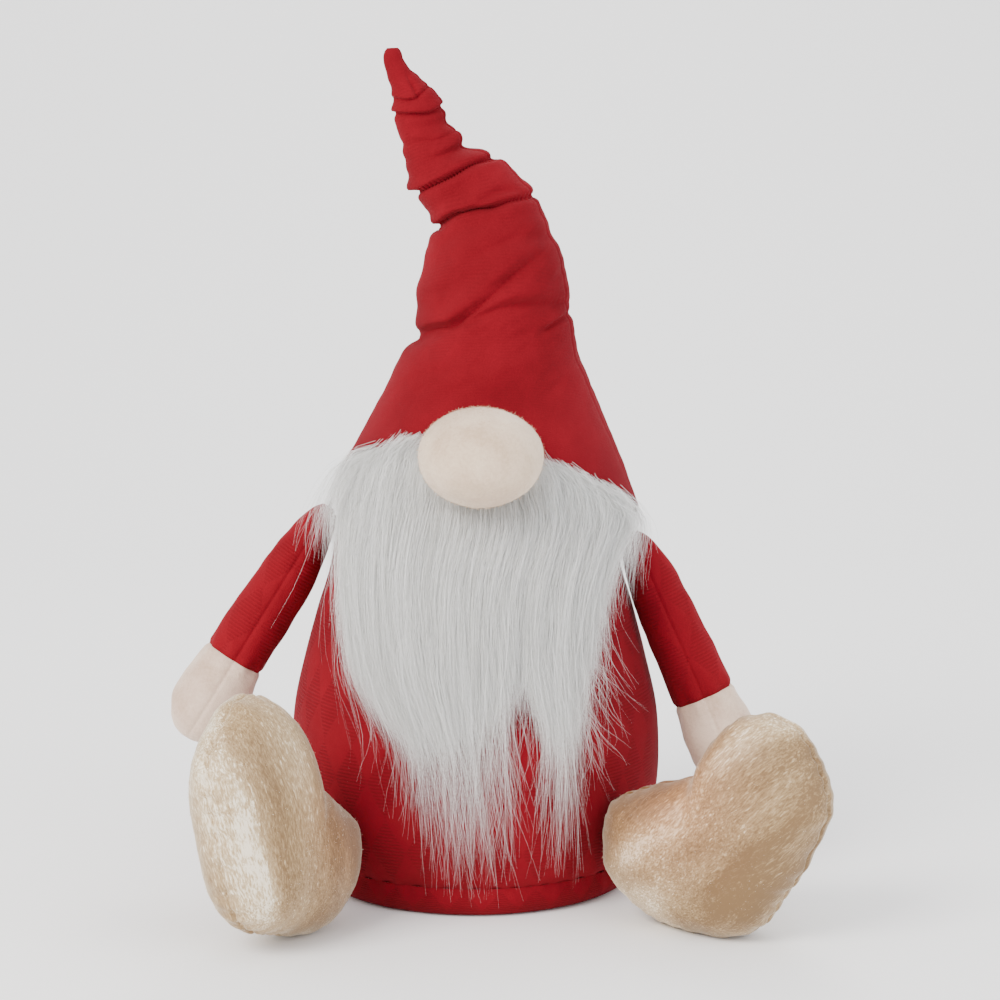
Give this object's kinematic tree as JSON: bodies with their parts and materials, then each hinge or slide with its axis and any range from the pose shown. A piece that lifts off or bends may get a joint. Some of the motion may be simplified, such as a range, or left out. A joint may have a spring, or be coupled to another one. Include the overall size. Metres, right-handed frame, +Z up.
{
  "type": "tomte gnome figurine",
  "caption": "Sitting plush tomte gnome with a tall crumpled red hat, ball nose, long white fur beard, stuffed jersey body and arms, fleece hands and champagne velvet boots",
  "frame": {"origin": "middle of the flat base, on the surface it rests on", "axes": "X to the right as seen by someone facing the gnome, Y from the face to the back, Z up"},
  "size_m": [0.4562, 0.3609, 0.5947],
  "materials": {
    "red_jersey": "matte",
    "hat_cotton": "matte",
    "cream_fleece": "matte",
    "white_fur": "satin",
    "champagne_velvet": "satin",
    "lining_cloth": "matte",
    "stuffing": "matte",
    "thread": "matte",
    "pellet_plastic": "matte",
    "wire_steel": "satin"
  },
  "bodies": {
    "body": {"body_front_panel": "red_jersey", "body_back_panel": "red_jersey", "base_panel": "red_jersey", "base_seam_thread": "thread", "body_stuffing": "stuffing", "weight_bag": "lining_cloth", "weight_pellets": "pellet_plastic", "hat_lower_front_panel": "hat_cotton", "hat_lower_back_panel": "hat_cotton", "hat_lower_stuffing": "stuffing", "hat_lower_wire": "wire_steel", "nose_cover": "cream_fleece", "nose_stuffing": "stuffing", "beard_top_backing": "lining_cloth", "beard_top_fur": "white_fur", "left_shoulder_thread": "thread", "right_shoulder_thread": "thread", "left_hip_thread": "thread", "right_hip_thread": "thread"},
    "hat_middle": {"hat_middle_front_panel": "hat_cotton", "hat_middle_back_panel": "hat_cotton", "hat_middle_stuffing": "stuffing", "hat_middle_wire": "wire_steel"},
    "hat_upper": {"hat_upper_front_panel": "hat_cotton", "hat_upper_back_panel": "hat_cotton", "hat_upper_stuffing": "stuffing", "hat_upper_wire": "wire_steel"},
    "hat_tip": {"hat_tip_cover": "hat_cotton", "hat_tip_stuffing": "stuffing", "hat_tip_wire": "wire_steel"},
    "beard": {"beard_fall_backing": "lining_cloth", "beard_fall_fur": "white_fur"},
    "left_arm": {"left_sleeve_outer_panel": "red_jersey", "left_sleeve_inner_panel": "red_jersey", "left_hand_outer_panel": "cream_fleece", "left_hand_inner_panel": "cream_fleece", "left_arm_stuffing": "stuffing"},
    "right_arm": {"right_sleeve_outer_panel": "red_jersey", "right_sleeve_inner_panel": "red_jersey", "right_hand_outer_panel": "cream_fleece", "right_hand_inner_panel": "cream_fleece", "right_arm_stuffing": "stuffing"},
    "left_boot": {"left_boot_outer_panel": "champagne_velvet", "left_boot_inner_panel": "champagne_velvet", "left_boot_stuffing": "stuffing"},
    "right_boot": {"right_boot_outer_panel": "champagne_velvet", "right_boot_inner_panel": "champagne_velvet", "right_boot_stuffing": "stuffing"}
  },
  "joints": [
    {"name": "hat_lower_fold", "type": "hinge", "parent": "body", "child": "hat_middle", "pos_m": [0.015, 0, 0.392], "axis": [0, 1, 0], "range_deg": [-20, 25]},
    {"name": "hat_middle_fold", "type": "hinge", "parent": "hat_middle", "child": "hat_upper", "pos_m": [0.008, 0, 0.485], "axis": [1, 0, 0], "range_deg": [-25, 25]},
    {"name": "hat_tip_fold", "type": "hinge", "parent": "hat_upper", "child": "hat_tip", "pos_m": [-0.04, 0, 0.55], "axis": [0, 1, 0], "range_deg": [-40, 40]},
    {"name": "left_arm_raise", "type": "hinge", "parent": "body", "child": "left_arm", "pos_m": [-0.104, -0.004, 0.272], "axis": [0, 1, 0], "range_deg": [0, 60], "stiffness_Nm_per_rad": 0.25},
    {"name": "right_arm_raise", "type": "hinge", "parent": "body", "child": "right_arm", "pos_m": [0.112, -0.004, 0.253], "axis": [0, -1, 0], "range_deg": [0, 60], "stiffness_Nm_per_rad": 0.25},
    {"name": "left_boot_lift", "type": "hinge", "parent": "body", "child": "left_boot", "pos_m": [-0.09609, -0.0998, 0.0746], "axis": [-0.8663, 0.4925, -0.0838], "range_deg": [0, 30]},
    {"name": "right_boot_lift", "type": "hinge", "parent": "body", "child": "right_boot", "pos_m": [0.0969, -0.10067, 0.08287], "axis": [-0.5441, -0.8389, 0.0174], "range_deg": [0, 45]},
    {"name": "beard_lift", "type": "hinge", "parent": "body", "child": "beard", "pos_m": [0, -0.121, 0.275], "axis": [-1, 0, 0], "range_deg": [0, 70]}
  ]
}
